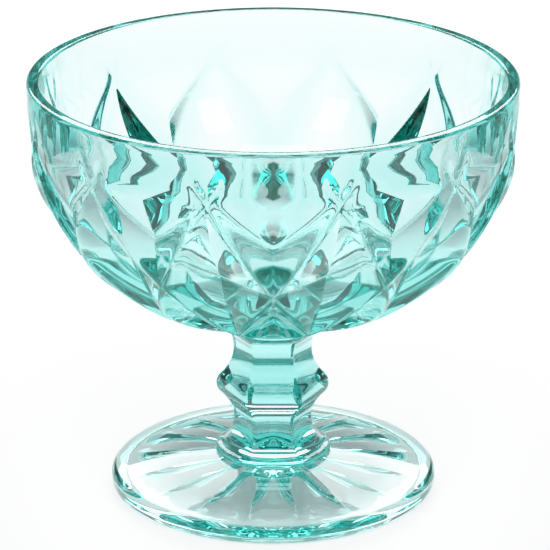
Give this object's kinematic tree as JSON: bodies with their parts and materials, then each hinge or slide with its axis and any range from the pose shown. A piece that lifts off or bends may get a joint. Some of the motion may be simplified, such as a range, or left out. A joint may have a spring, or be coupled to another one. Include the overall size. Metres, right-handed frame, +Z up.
{
  "type": "dessert glass",
  "caption": "Footed dessert coupe of pressed aqua glass: wide bowl with raised ridges round sunk diamonds, faceted stem with a knop, and a round foot fluted underneath.",
  "frame": {"origin": "middle of the plane that the foot stands on", "axes": "+Z up along the axis of the bowl, stem and foot; -Y faces the viewer of the picture, with a crossing of the lattice and a flat of the stem on it"},
  "size_m": [0.1184, 0.1184, 0.105],
  "materials": {
    "aqua_glass": "clear pressed glass tinted aqua all through, fire-polished, darker where it is thick"
  },
  "bodies": {
    "root": {"bowl": "aqua_glass", "stem": "aqua_glass", "foot": "aqua_glass"}
  },
  "joints": []
}
